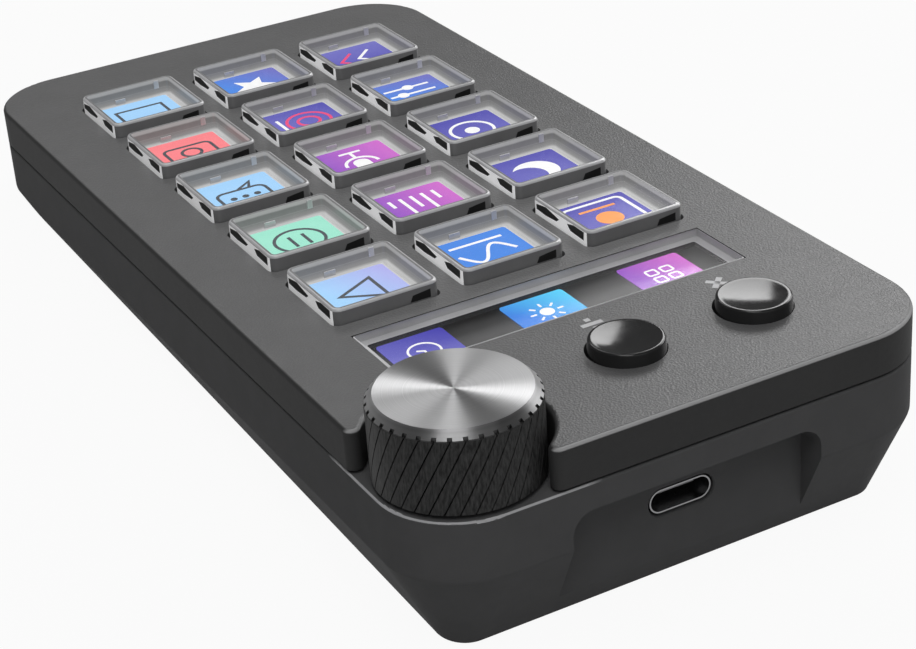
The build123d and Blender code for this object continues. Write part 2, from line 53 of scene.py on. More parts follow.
# Clear caps
cap_width = 15.3
cap_length = 15.1
cap_top = 2.15
cap_bottom = -3.0
cap_wall = 0.65
cap_roof = 1.2
cap_corner = 1.25
cap_bevel = 0.35
cap_inner_corner = 0.4
shade_patch_relief = 0.02
rib_reach = 0.22

# Lit tiles under the caps and under the strip window
display_depth = 1.2
tile_size = 11.6
tile_corner = 0.5
tile_thickness = 0.85
bezel_size = 12.6
bezel_thickness = 0.7
ink_thickness = 0.04
strip_depth = 3.05
strip_tile_size = 9.6
strip_tile_corner = 0.9
strip_tile_thickness = 0.12
strip_tile_x = 18.15
strip_icon_size = 7.2

# Strip window
window_width = 52.4
window_length = 11.2
window_thickness = 1.15
window_bevel = 0.15
window_corner = 0.3
window_border = 1.3

# Round buttons
button_radius = 5.0
button_top_radius = 4.85
button_top = 1.75
button_bottom = -2.0
button_edge = 0.3
button_dish = 0.25
button_dish_radius = 4.4

# Marks printed in front of the buttons
mark_offset = 8.05
mark_size = 1.55
mark_stroke = 0.8
mark_thickness = 0.03

# Rim painted pale as a highlight: full up to the first distance from the knob's place, gone at the second
highlight_near = 16.5
highlight_far = 18.0

# The knob's joint gives the deck's slope and one of its points
joints = {joint["name"]: joint for joint in frame["joints"]}
deck_up = Vector(joints["knob_turn"]["axis"]).normalized()
deck_rear = Vector((0, deck_up.z, -deck_up.y))
deck_right = Vector((1, 0, 0))
knob_place = Vector(joints["knob_turn"]["pos_m"])


def deck_matrix(place, rise=0.0):
    """Frame in millimetres at a point of the deck, or off it by a rise"""
    axes = Matrix((deck_right, deck_rear, deck_up)).transposed().to_4x4()
    return Matrix.Translation(place + deck_up * (rise * MM)) @ axes @ Matrix.Scale(MM, 4)


def deck_over(node):
    """Point of the deck over the middle of a CAD node"""
    low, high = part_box(node)
    middle = (low + high) / 2
    return middle + deck_up * (knob_place - middle).dot(deck_up)


# Materials


class Surface:
    """A principled material and the nodes that drive it"""

    def __init__(self, name, **values):
        self.material = bpy.data.materials.new(name)
        self.material.use_nodes = True
        self.tree = self.material.node_tree
        self.shader = self.tree.nodes["Principled BSDF"]
        for socket, value in values.items():
            self.shader.inputs[socket.replace("_", " ")].default_value = value
        coordinates = self.node("ShaderNodeTexCoord")
        self.place = coordinates.outputs["Object"]
        self.share = coordinates.outputs["Generated"]

    def node(self, kind, **values):
        """Add a node and set its inputs by name"""
        node = self.tree.nodes.new(kind)
        for socket, value in values.items():
            node.inputs[socket.replace("_", " ")].default_value = value
        return node

    def link(self, source, target):
        """Join an output to an input, which may be named if it is the shader's"""
        if isinstance(target, str):
            target = self.shader.inputs[target]
        self.tree.links.new(source, target)

    def noise(self, scale, detail=3.0, roughness=0.55):
        """Noise over the part's own frame, with features of about one over the scale in metres"""
        node = self.node("ShaderNodeTexNoise", Scale=scale, Detail=detail, Roughness=roughness)
        self.link(self.place, node.inputs["Vector"])
        return node.outputs["Fac"]

    def cells(self, scale, smoothness=0.4):
        """Smooth cells, as in moulded leather grain"""
        node = self.node("ShaderNodeTexVoronoi", Scale=scale)
        node.feature = "SMOOTH_F1"
        node.inputs["Smoothness"].default_value = smoothness
        self.link(self.place, node.inputs["Vector"])
        return node.outputs["Distance"]

    def ramp(self, value, *stops):
        """Colours along a value: stops are (position, colour)"""
        node = self.node("ShaderNodeValToRGB")
        elements = node.color_ramp.elements
        while len(elements) < len(stops):
            elements.new(0.5)
        for element, (position, colour) in zip(elements, stops):
            element.position = position
            element.color = (*colour, 1.0)
        self.link(value, node.inputs["Fac"])
        return node.outputs["Color"]

    def span(self, value, low, high, from_low=0.0, from_high=1.0):
        """A value mapped to another range"""
        node = self.node("ShaderNodeMapRange", To_Min=low, To_Max=high, From_Min=from_low, From_Max=from_high)
        self.link(value, node.inputs["Value"])
        return node.outputs["Result"]

    def math(self, kind, first, second):
        """Two values combined; the second may be a plain number"""
        node = self.node("ShaderNodeMath")
        node.operation = kind
        self.link(first, node.inputs[0])
        if isinstance(second, (int, float)):
            node.inputs[1].default_value = second
        else:
            self.link(second, node.inputs[1])
        return node.outputs["Value"]

    def vector(self, kind, first, second, output="Value"):
        """A point or a normal combined with a fixed vector"""
        node = self.node("ShaderNodeVectorMath")
        node.operation = kind
        self.link(first, node.inputs[0])
        node.inputs[1].default_value = second
        return node.outputs[output]

    def facing(self, direction):
        """How far the surface faces a direction, from -1 to 1"""
        return self.vector("DOT_PRODUCT", self.node("ShaderNodeNewGeometry").outputs["Normal"], direction)

    def upper_edge(self):
        """1 on rounded upper edges, 0 on flat faces"""
        tilt = self.facing(deck_up)
        off_sides = self.span(tilt, 0.0, 1.0, 0.25, 0.45)
        off_top = self.span(tilt, 1.0, 0.0, 0.9, 0.97)
        return self.math("MULTIPLY", off_sides, off_top)

    def colour(self, output):
        self.link(output, "Base Color")

    def roughness(self, output):
        self.link(output, "Roughness")

    def bump(self, height, distance, strength=1.0):
        """Relief of this depth from a height between 0 and 1"""
        node = self.node("ShaderNodeBump", Strength=strength, Distance=distance)
        self.link(height, node.inputs["Height"])
        self.link(node.outputs["Normal"], "Normal")


def grey(value, tint=0.0):
    return (value, value, value * (1 + tint))


def linear(code):
    """Linear colour from a hexadecimal screen colour"""
    parts = [int(code[i:i + 2], 16) / 255 for i in (0, 2, 4)]
    return tuple(p / 12.92 if p <= 0.04045 else ((p + 0.055) / 1.055) ** 2.4 for p in parts)


def moulded(name, shade, roughness=0.45, relief=0.012, scale=2600, **values):
    """Moulded plastic or rubber with faint mottling and fine relief"""
    surface = Surface(name, **values)
    mottle = surface.noise(scale / 12)
    surface.colour(surface.ramp(mottle, (0.3, grey(shade * 0.9, 0.02)), (0.7, grey(shade * 1.1, 0.02))))
    surface.roughness(surface.span(surface.noise(scale / 3), roughness - 0.05, roughness + 0.05))
    surface.bump(surface.noise(scale), relief * MM)
    return surface.material


def cover_plastic():
    """Top with a leather grain, and smoother sides made darker by painted shade; a painted highlight pales the
    upper edges at the rear
    """
    surface = Surface("cover_plastic", Specular_IOR_Level=0.4)
    on_top = surface.span(surface.facing(deck_up), 0.0, 1.0, 0.8, 0.98)
    mottle = surface.span(surface.noise(160, 4.0), 0.078, 0.108)
    # Sides get a quarter of the top's tone: painted shade
    shade = surface.math("MULTIPLY", mottle, surface.span(on_top, 0.25, 1.0))
    # Upper edges that face the rear are painted pale: a painted highlight
    at_rear = surface.span(surface.facing(deck_rear), 0.0, 0.3, 0.1, 0.5)
    painted_edge_highlight = surface.math("MULTIPLY", surface.upper_edge(), at_rear)
    surface.colour(surface.ramp(surface.math("ADD", shade, painted_edge_highlight), (0.0, grey(0.0)), (1.0, grey(1.0, 0.01))))
    grain = surface.math("ADD", surface.cells(3400), surface.math("MULTIPLY", surface.noise(5000), 0.5))
    polish = surface.span(surface.noise(1400), 0.33, 0.43)
    surface.roughness(surface.math("ADD", polish, surface.span(on_top, 0.4, 0.0)))
    surface.bump(surface.math("MULTIPLY", grain, surface.span(on_top, 0.1, 1.0)), 0.045 * MM, 0.7)
    return surface.material


def case_plastic():
    """Matt sides, and a painted highlight that makes the rim pale in front of the knob"""
    surface = Surface("case_plastic", Specular_IOR_Level=0.1)
    # Upper edges near the knob are painted pale: a painted highlight
    reach = surface.vector("DISTANCE", surface.place, knob_place)
    near_knob = surface.span(reach, 0.32, 0.0, highlight_near * MM, highlight_far * MM)
    painted_edge_highlight = surface.math("MULTIPLY", surface.upper_edge(), near_knob)
    shade = surface.math("ADD", surface.span(surface.noise(260), 0.074, 0.09), painted_edge_highlight)
    surface.colour(surface.ramp(shade, (0.0, grey(0.0)), (1.0, grey(1.0, 0.02))))
    surface.roughness(surface.span(surface.noise(1100), 0.72, 0.82))
    surface.bump(surface.noise(3200), 0.008 * MM)
    return surface.material


def metal(name, shade, roughness, scale=3000):
    """Plated or drawn metal with fine streaks of roughness"""
    surface = Surface(name, Metallic=1.0)
    tone = surface.noise(scale / 8)
    surface.colour(surface.ramp(tone, (0.3, grey(shade * 0.9, 0.02)), (0.7, grey(shade, 0.02))))
    surface.roughness(surface.span(surface.noise(scale), roughness * 0.75, roughness * 1.25))
    return surface.material


def clear_pane():
    """Clear polished plastic: see-through, and more of a mirror the flatter it is seen"""
    surface = Surface("clear_plastic", Metallic=1.0)
    surface.colour(surface.ramp(surface.noise(300), (0.3, grey(0.96)), (0.7, grey(1.0))))
    surface.roughness(surface.span(surface.noise(500), 0.22, 0.28))
    slant = surface.node("ShaderNodeLayerWeight", Blend=0.5).outputs["Facing"]
    surface.link(surface.span(surface.math("POWER", slant, 4), 0.01, 0.15), "Alpha")
    return surface.material


def spun_metal():
    """Aluminium face turned on a lathe: fine rings that draw the light into rays"""
    surface = Surface("spun_aluminium", Metallic=1.0, Anisotropic=0.95, Anisotropic_Rotation=0.25)
    tangent = surface.node("ShaderNodeTangent")
    tangent.direction_type = "RADIAL"
    tangent.axis = "Z"
    surface.link(tangent.outputs["Tangent"], "Tangent")
    rings = surface.node("ShaderNodeTexNoise", Scale=1.0, Detail=3.0)
    rings.noise_dimensions = "1D"
    reach = surface.vector("DISTANCE", surface.place, knob_place)
    surface.link(surface.math("MULTIPLY", reach, 9000), rings.inputs["W"])
    # Faces that turn from the deck, the chamfer and the notch walls, are painted darker: painted shade
    shade = surface.math("MULTIPLY", surface.span(rings.outputs["Fac"], 0.38, 0.46, 0.25, 0.75),
                         surface.span(surface.facing(deck_up), 0.16, 1.0, 0.5, 0.95))
    surface.colour(surface.ramp(shade, (0.0, grey(0.0)), (1.0, grey(1.0, 0.01))))
    surface.roughness(surface.span(rings.outputs["Fac"], 0.37, 0.43))
    return surface.material


def knurled_plastic():
    """Matt black grip with short scored lines along its height"""
    surface = Surface("knob_black", Specular_IOR_Level=0.15)
    offset = surface.vector("SUBTRACT", surface.place, knob_place, "Vector")
    parts = surface.node("ShaderNodeSeparateXYZ")
    surface.link(offset, parts.inputs["Vector"])
    turn = surface.math("ARCTAN2", parts.outputs["X"], parts.outputs["Y"])
    spread = surface.node("ShaderNodeCombineXYZ")
    surface.link(surface.math("MULTIPLY", turn, 32), spread.inputs["X"])
    height = surface.vector("DOT_PRODUCT", offset, deck_up)
    surface.link(surface.math("MULTIPLY", height, 700), spread.inputs["Y"])
    scores = surface.node("ShaderNodeTexNoise", Scale=1.0, Detail=2.0, Roughness=0.6)
    surface.link(spread.outputs["Vector"], scores.inputs["Vector"])
    score = scores.outputs["Fac"]
    surface.colour(surface.ramp(score, (0.35, grey(0.01)), (0.5, grey(0.028)), (0.7, grey(0.05))))
    surface.roughness(surface.span(score, 0.45, 0.65))
    surface.bump(score, 0.06 * MM)
    return surface.material


def lit_tile(name, start, end, angle):
    """Lit display tile with a colour that runs across it, and dimmer sides"""
    surface = Surface(name, Base_Color=(0.01, 0.01, 0.012, 1), Roughness=0.25)
    direction = (cos(radians(angle)), sin(radians(angle)), 0)
    along = surface.vector("DOT_PRODUCT", surface.share, direction)
    uneven = surface.math("ADD", along, surface.math("MULTIPLY", surface.noise(900), 0.04))
    surface.link(surface.ramp(uneven, (0.1, linear(start)), (0.95, linear(end))), "Emission Color")
    surface.link(surface.span(surface.facing(deck_up), 0.4, 1.0, 0.2, 0.8), "Emission Strength")
    return surface.material


def cap_painted_glow():
    """Inner walls of a clear cap with painted light: glowing bands, dark and bright at fixed heights, stand in for
    light and shade seen through the clear plastic, palest by the lit tile
    """
    surface = Surface("cap_painted_glow", Roughness=0.4, Emission_Strength=1.0)
    surface.colour(surface.ramp(surface.noise(700), (0.3, grey(0.03)), (0.7, grey(0.05))))
    offset = surface.vector("SUBTRACT", surface.place, knob_place, "Vector")
    height = surface.vector("DOT_PRODUCT", offset, deck_up)
    uneven = surface.math("ADD", height, surface.math("MULTIPLY", surface.noise(500), 0.1 * MM))
    share = surface.span(uneven, 0.0, 1.0, -display_depth * MM, cap_top * MM)
    glow_bands = ((0.18, 0.5), (0.3, 0.22), (0.52, 0.15), (0.54, 0.22), (0.56, 0.13), (0.8, 0.12), (0.87, 0.3))
    surface.link(surface.ramp(share, *((place, grey(value)) for place, value in glow_bands)), "Emission Color")
    return surface.material


def tile_bezel():
    """Pale border round a tile, with a painted glow from the tile that fades outwards"""
    surface = Surface("tile_bezel", Roughness=0.4, Emission_Strength=1.0)
    surface.colour(surface.ramp(surface.noise(500), (0.3, grey(0.2)), (0.7, grey(0.24))))
    offset = surface.vector("SUBTRACT", surface.share, (0.5, 0.5, 0.5), "Vector")
    sides = surface.node("ShaderNodeSeparateXYZ")
    surface.link(surface.vector("ABSOLUTE", offset, (0, 0, 0), "Vector"), sides.inputs["Vector"])
    reach = surface.math("MAXIMUM", sides.outputs["X"], sides.outputs["Y"])
    surface.link(surface.ramp(reach, (0.46, grey(0.5)), (0.5, grey(0.28))), "Emission Color")
    return surface.material


def ink(name, code):
    """Lit or dark drawing on a display tile"""
    surface = Surface(name, Base_Color=(0.01, 0.01, 0.012, 1), Roughness=0.3, Emission_Strength=1.0)
    shade = linear(code)
    faded = tuple(c * 0.9 for c in shade)
    surface.link(surface.ramp(surface.noise(1200), (0.3, faded), (0.7, shade)), "Emission Color")
    return surface.material


materials = {
    "cover_plastic": cover_plastic(),
    "case_plastic": case_plastic(),
    "clear_plastic": clear_pane(),
    "display_glass": moulded("display_glass", 0.06, 0.5, 0.002, Specular_IOR_Level=0.3),
    "button_plastic": moulded("button_plastic", 0.02, 0.1, 0.001, 1500, Specular_IOR_Level=0.3),
    "knob_black": knurled_plastic(),
    "knob_metal": spun_metal(),
    "steel": metal("steel", 0.26, 0.3),
    "black_plastic": moulded("black_plastic", 0.05, 0.5),
    "circuit_board": moulded("circuit_board", 0.03, 0.4),
    "silicone": moulded("silicone", 0.04, 0.6),
    "rubber": moulded("rubber", 0.025, 0.7, 0.03, 2000),
}
for subpart in frame["record"]["subparts"]:
    mesh = frame["nodes"][subpart["node"]].data
    mesh.materials.clear()
    mesh.materials.append(materials[subpart["material_slot"]])

# The socket's tongue is painted a pale grey, lighter than its black plastic, so that it shows in the socket's
# shade: painted light
tongue = frame["nodes"]["usb_tongue"].data.materials
tongue[0] = moulded("socket_tongue", 0.4, 0.4)

glossy = {"Coat_Weight": 0.6, "Coat_Roughness": 0.06}
# The caps are drawn in opaque greys for the light and shade of clear plastic: the pale bevel (frame) is a painted
# highlight, the darker brim (flank) and outer walls (back) are painted shade
cap_frame = moulded("cap_frame", 0.5, 0.3, 0.003, 1600, **glossy)
cap_flank = moulded("cap_flank", 0.2, 0.3, 0.003, 1600, **glossy)
cap_back = moulded("cap_back", 0.17, 0.3, 0.003, 1600, **glossy)
# Pale, glowing side walls: painted glow and painted reflection
painted_glow = {"Emission_Color": (1, 1, 1, 1), "Emission_Strength": 0.3}
cap_side_painted_glow = moulded("cap_side_painted_glow", 0.8, 0.3, 0.003, 1600, **painted_glow, **glossy)
cap_inside = cap_painted_glow()
# Near-black patches on the cap walls: painted shade
cap_shade_patch = moulded("cap_shade_patch", 0.006, 0.35, 0.002)
bezel = tile_bezel()
mark_print = moulded("mark_print", 0.5, 0.5, 0.004, 900)


# Meshes


def rounded_outline(width, length, radius, steps=8):
    """Rectangle with round corners about the middle, counter-clockwise"""
    points = []
    for corner, (across, along) in enumerate(((1, 1), (-1, 1), (-1, -1), (1, -1))):
        middle = Vector((across * (width / 2 - radius), along * (length / 2 - radius)))
        for step in range(steps + 1):
            angle = (corner + step / steps) * pi / 2
            points.append(middle + Vector((cos(angle), sin(angle))) * radius)
    return points


def arc(x, y, radius, start, end, steps=20):
    """Points of an arc, in degrees from the right"""
    angles = [radians(start + (end - start) * step / steps) for step in range(steps + 1)]
    return [Vector((x + radius * cos(angle), y + radius * sin(angle))) for angle in angles]


def circle(x, y, radius, steps=32):
    return arc(x, y, radius, 0, 360, steps)[:-1]


def sideways(points, distance, closed):
    """A line moved to its left by a distance, with mitred corners"""
    moved = []
    last = len(points) - 1
    for i, point in enumerate(points):
        before = points[i - 1] if closed or i > 0 else None
        after = points[(i + 1) % len(points)] if closed or i < last else None
        ahead = (after - point).normalized() if after else (point - before).normalized()
        behind = (point - before).normalized() if before else ahead
        bisector = (ahead + behind).normalized()
        left = Vector((-bisector.y, bisector.x))
        moved.append(point + left * (distance / max(bisector.dot(ahead), 0.4)))
    return moved


def ring(bm, outline, height):
    """Corners of an outline at a height"""
    return [bm.verts.new((*point, height)) for point in outline]


def skin(bm, rings, slot=0):
    """Faces between one ring of corners and the next"""
    for first, second in zip(rings, rings[1:]):
        for i in range(len(first)):
            j = (i + 1) % len(first)
            bm.faces.new((first[i], first[j], second[j], second[i])).material_index = slot


def lid(bm, corners, slot=0):
    """Face over a ring of corners"""
    bm.faces.new(corners).material_index = slot


def prism(bm, outline, low, high, slot=0):
    """Plate with this outline, between two heights"""
    rings = [ring(bm, outline, low), ring(bm, outline, high)]
    skin(bm, rings, slot)
    lid(bm, rings[0][::-1], slot)
    lid(bm, rings[1], slot)


def ring_plate(bm, outer, inner, low, high, slot=0):
    """Plate between two outlines with as many points each"""
    rings = [ring(bm, outer, low), ring(bm, outer, high), ring(bm, inner, high), ring(bm, inner, low)]
    skin(bm, rings + rings[:1], slot)


def slab(bm, corners, push, slot=0):
    """Flat shape in space, given a thickness along a push"""
    near = [bm.verts.new(corner) for corner in corners]
    far = [bm.verts.new(Vector(corner) + Vector(push)) for corner in corners]
    skin(bm, [near, far], slot)
    lid(bm, near[::-1], slot)
    lid(bm, far, slot)


def finish_piece(name, bm, matrix, material_list, body, replaced=None):
    """Make an object of a mesh drawn in a frame of its own, and let it ride on a body"""
    bmesh.ops.transform(bm, matrix=matrix, verts=bm.verts)
    bmesh.ops.recalc_face_normals(bm, faces=bm.faces)
    mesh = bpy.data.meshes.new(name)
    bm.to_mesh(mesh)
    bm.free()
    for material in material_list:
        mesh.materials.append(material)
    mesh.shade_smooth()
    mesh.set_sharp_from_angle(angle=radians(32))
    piece = bpy.data.objects.new(name, mesh)
    bpy.context.scene.collection.objects.link(piece)
    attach(piece, body)
    if replaced:
        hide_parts(replaced)
    return piece


# Clear caps: a pane in a frame, with dark patches of painted shade on the side walls and the rear wall, and small
# ribs inside the front wall
PANE, FRAME, FLANK, BACK, SIDE, SHADE_PATCH, INSIDE = range(7)
SIDE_FACING = 0.9
side_shade_patches = (
    ((-6.2, 0.6), (-3.8, 0.45), (-0.9, 0.65), (-0.2, 1.15), (-3.6, 1.76), (-6.2, 1.35)),
    ((1.9, 1.35), (2.7, 0.6), (6.1, 0.45), (6.2, 1.7), (3.6, 1.76)),
)
rear_shade_patch = ((-6.2, 0.05), (-3.2, 0.05), (-3.6, 0.95), (-6.2, 1.25))
ribs = ((-5.3, 0.8, 0.6, 1.9), (0.6, 1.7, -0.5, 0.3))


def cap_outline(inset):
    radius = max(cap_corner - inset, cap_inner_corner)
    return rounded_outline(cap_width - 2 * inset, cap_length - 2 * inset, radius)


def bevel_rings(bm, outline, top, bevel, steps=4):
    """Rings round a rounded upper edge; outline gives the plan at an inset"""
    rings = []
    for step in range(steps + 1):
        angle = step / steps * pi / 2
        rings.append(ring(bm, outline(bevel * (1 - cos(angle))), top - bevel + bevel * sin(angle)))
    return rings


def make_cap(row, side):
    """Cap over one key's tile"""
    bm = bmesh.new()
    foot = ring(bm, cap_outline(0), cap_bottom)
    edge = bevel_rings(bm, cap_outline, cap_top, cap_bevel)
    brim = ring(bm, cap_outline(cap_wall), cap_top)
    ceiling = ring(bm, cap_outline(cap_wall), cap_top - cap_roof)
    inner_foot = ring(bm, cap_outline(cap_wall), cap_bottom)
    skin(bm, [foot, edge[0]], BACK)
    skin(bm, edge, FRAME)
    skin(bm, [edge[-1], brim], FLANK)
    skin(bm, [brim, ceiling, inner_foot], INSIDE)
    skin(bm, [inner_foot, foot], BACK)
    lid(bm, brim, PANE)
    lid(bm, ceiling, PANE)
    bm.normal_update()
    for face in bm.faces:
        if face.material_index == BACK and abs(face.normal.x) > SIDE_FACING:
            face.material_index = SIDE
    for hand in (-1, 1):
        wall = hand * cap_width / 2
        for outline in side_shade_patches:
            slab(bm, [(wall, y, z) for y, z in outline], (hand * shade_patch_relief, 0, 0), SHADE_PATCH)
    slab(bm, [(x, cap_length / 2, z) for x, z in rear_shade_patch], (0, shade_patch_relief, 0), SHADE_PATCH)
    front = cap_wall - cap_length / 2
    for x, width, low, high in ribs:
        corners = ((x, low), (x + width, low), (x + width, high), (x, high))
        slab(bm, [(across, front, up) for across, up in corners], (0, rib_reach, 0), FRAME)
    node = f"keycap_row{row}_{side}"
    looks = [materials["clear_plastic"], cap_frame, cap_flank, cap_back, cap_side_painted_glow, cap_shade_patch, cap_inside]
    place = deck_matrix(deck_over(node))
    cap = finish_piece(f"cap_row{row}_{side}", bm, place, looks, f"row{row}_{side}_key",
                       node)
    cap.visible_shadow = False


for row in range(1, 6):
    for side in ("left", "middle", "right"):
        make_cap(row, side)


# Strip window: a clear pane with a pale border below it and a pale bevel
def window_outline(inset):
    return rounded_outline(window_width - 2 * inset, window_length - 2 * inset, window_corner)


bm = bmesh.new()
window_low = ring(bm, window_outline(0), -window_thickness)
window_edge = bevel_rings(bm, window_outline, 0.0, window_bevel, 2)
border = ring(bm, window_outline(window_border), -window_thickness)
skin(bm, [border, window_low, *window_edge], FRAME)
lid(bm, border, PANE)
lid(bm, window_edge[-1], PANE)
finish_piece("strip_pane", bm, deck_matrix(deck_over("strip_window")),
             [materials["clear_plastic"], cap_frame], "case", "strip_window")


# Round buttons: turned smooth, with a shallow dish
def make_button(button):
    edge_steps = 6
    dish_steps = 12
    turned = [(button_radius, button_bottom), (button_radius, 0.0)]
    for step in range(edge_steps + 1):
        angle = step / edge_steps * pi / 2
        inset = button_edge * (1 - cos(angle))
        turned.append((button_top_radius - inset, button_top - button_edge * (1 - sin(angle))))
    for step in range(dish_steps):
        reach = 1 - step / dish_steps
        turned.append((button_dish_radius * reach, button_top - button_dish * (1 - reach**2)))
    bm = bmesh.new()
    rings = [ring(bm, circle(0, 0, radius, 72), height) for radius, height in turned]
    skin(bm, rings)
    lid(bm, rings[0][::-1])
    lid(bm, rings[-1])
    finish_piece(f"{button}_top", bm, deck_matrix(deck_over(button)), [materials["button_plastic"]],
                 button.replace("_button", "_push_button"), button)


make_button("left_button")
make_button("centre_button")


# Drawings for the tiles, on a square that runs from -1 to 1 each way
INK, ACCENT, BEZEL = 1, 2, 3
STROKE = 0.085


class Drawing:
    """Lines, closed loops and filled shapes in one of two inks"""

    def __init__(self):
        self.shapes = []

    def add(self, kind, points, slot):
        self.shapes.append((kind, [Vector(point) for point in points], slot))
        return self

    def line(self, *points, slot=INK):
        return self.add("line", points, slot)

    def loop(self, points, slot=INK):
        return self.add("loop", points, slot)

    def fill(self, points, slot=INK):
        return self.add("fill", points, slot)

    def emboss(self, bm, scale, low, high):
        """Add the drawing to a tile's mesh"""
        for kind, points, slot in self.shapes:
            if kind == "fill":
                prism(bm, [point * scale for point in points], low, high, slot)
                continue
            left, right = ([point * scale for point in sideways(points, reach, kind == "loop")]
                           for reach in (STROKE / 2, -STROKE / 2))
            if kind == "loop":
                ring_plate(bm, right, left, low, high, slot)
            else:
                prism(bm, right + left[::-1], low, high, slot)


def moved(points, x, y):
    return [point + Vector((x, y)) for point in points]


def play():
    return Drawing().loop([(-0.42, -0.52), (0.56, 0), (-0.42, 0.52)])


def wave():
    points = [(x / 20, 0.38 * sin(x / 20 * pi * 1.6)) for x in range(-14, 15)]
    return Drawing().line(*points).line((-0.7, -0.62), (0.7, -0.62))


def picture():
    drawing = Drawing().loop(rounded_outline(1.62, 1.62, 0.16)).fill(circle(0.0, 0.12, 0.34), ACCENT)
    return drawing.line((-0.5, -0.48), (0.5, -0.48), slot=ACCENT)


def pause():
    drawing = Drawing().loop(circle(0, 0, 0.62))
    return drawing.line((-0.18, -0.3), (-0.18, 0.3)).line((0.18, -0.3), (0.18, 0.3))


def levels():
    drawing = Drawing()
    for x, height in ((-0.6, 0.5), (-0.3, 1.0), (0.0, 0.7), (0.3, 1.2), (0.6, 0.4)):
        drawing.line((x, -0.6), (x, -0.6 + height))
    return drawing


def moon():
    """Crescent between two circles, from one point where they meet to the other"""
    return Drawing().fill(arc(0, 0, 0.6, 81.4, 328.6) + arc(0.3, 0.14, 0.5, 295.1, 114.9)[1:-1])


def bubble():
    drawing = Drawing().loop(moved(rounded_outline(1.3, 0.9, 0.22), 0, 0.14))
    drawing.line((-0.3, -0.34), (-0.42, -0.64), (0.0, -0.34))
    for x in (-0.32, 0.0, 0.32):
        drawing.fill(circle(x, 0.14, 0.09))
    return drawing


def microphone():
    drawing = Drawing().fill(moved(rounded_outline(0.44, 0.84, 0.21), 0, 0.28))
    drawing.line(*arc(0, 0.16, 0.44, 180, 360)).line((0, -0.28), (0, -0.62))
    return drawing.line((-0.3, -0.66), (0.3, -0.66))


def target():
    return Drawing().loop(circle(0, 0, 0.58)).fill(circle(0, 0, 0.2))


def camera_icon():
    drawing = Drawing().loop(rounded_outline(1.3, 0.94, 0.18)).loop(circle(0, 0, 0.26))
    return drawing.line((-0.3, 0.62), (0.3, 0.62))


def record_ring():
    drawing = Drawing().loop(circle(-0.12, 0, 0.6), ACCENT).loop(circle(-0.12, 0, 0.3), ACCENT)
    return drawing.line((0.62, -0.5), (0.62, 0.5))


def sliders():
    drawing = Drawing()
    for y, x in ((0.44, -0.24), (0.0, 0.3), (-0.44, -0.05)):
        drawing.line((-0.68, y), (0.68, y)).fill(circle(x, y, 0.16))
    return drawing


def folder():
    sheet = [(-0.66, -0.5), (0.66, -0.5), (0.66, 0.3)]
    tab = [(0.04, 0.3), (-0.14, 0.52), (-0.66, 0.52)]
    return Drawing().loop(sheet + tab)


def star():
    points = []
    for tip in range(5):
        for reach, turn in ((0.66, 0), (0.28, 36)):
            angle = radians(90 + tip * 72 + turn)
            points.append((reach * cos(angle), reach * sin(angle)))
    return Drawing().fill(points)


def chevrons():
    drawing = Drawing().line((-0.5, -0.5), (0.0, 0.0), (-0.5, 0.5))
    return drawing.line((0.05, -0.5), (0.55, 0.0), (0.05, 0.5), slot=ACCENT)


def clock():
    return Drawing().loop(circle(0, 0, 0.6)).line((0, 0.36), (0, 0), (0.26, -0.14))


def sun():
    drawing = Drawing().fill(circle(0, 0, 0.28))
    for ray in range(8):
        angle = ray * tau / 8
        drawing.line((0.44 * cos(angle), 0.44 * sin(angle)), (0.68 * cos(angle), 0.68 * sin(angle)))
    return drawing


def squares():
    drawing = Drawing()
    for x in (-0.32, 0.32):
        for y in (-0.32, 0.32):
            drawing.loop(moved(rounded_outline(0.42, 0.42, 0.08, 4), x, y))
    return drawing


# Screen colours
INDIGO = "4540AC"
IRIS = "6A68C0"
BLUE = "3A84E4"
CYAN = "5AD4FC"
SKY = "A0D2FC"
LILAC = "B0AEEC"
VIOLET = "9650C4"
ORCHID = "D066CC"
MINT = "9CE6CE"
CORAL = "FC8086"

dark = ink("ink_dark", "3A4048")
white = ink("ink_white", "FFFFFF")
pink = ink("ink_pink", "F03C78")
orange = ink("ink_orange", "FF9A30")

# Key tiles by row and side: colours at the two ends, direction of the run, drawing, ink and accent
key_tiles = {
    (1, "left"): (INDIGO, IRIS, 90, picture(), white, orange),
    (1, "middle"): (BLUE, BLUE, 60, wave(), white, white),
    (1, "right"): (LILAC, SKY, 20, play(), dark, dark),
    (2, "left"): (INDIGO, IRIS, 80, moon(), white, white),
    (2, "middle"): (ORCHID, VIOLET, 10, levels(), white, white),
    (2, "right"): (MINT, MINT, 90, pause(), dark, dark),
    (3, "left"): (INDIGO, IRIS, 90, target(), white, white),
    (3, "middle"): (ORCHID, VIOLET, 10, microphone(), white, white),
    (3, "right"): (SKY, SKY, 90, bubble(), dark, dark),
    (4, "left"): (IRIS, BLUE, 60, sliders(), white, white),
    (4, "middle"): (INDIGO, IRIS, 60, record_ring(), white, pink),
    (4, "right"): (CORAL, CORAL, 90, camera_icon(), dark, dark),
    (5, "left"): (IRIS, INDIGO, 90, chevrons(), white, pink),
    (5, "middle"): (IRIS, BLUE, 30, star(), white, white),
    (5, "right"): (SKY, SKY, 90, folder(), dark, dark),
}
strip_tiles = {
    "left": (-1, ORCHID, VIOLET, 20, squares()),
    "middle": (0, CYAN, BLUE, 40, sun()),
    "right": (1, INDIGO, IRIS, 60, clock()),
}

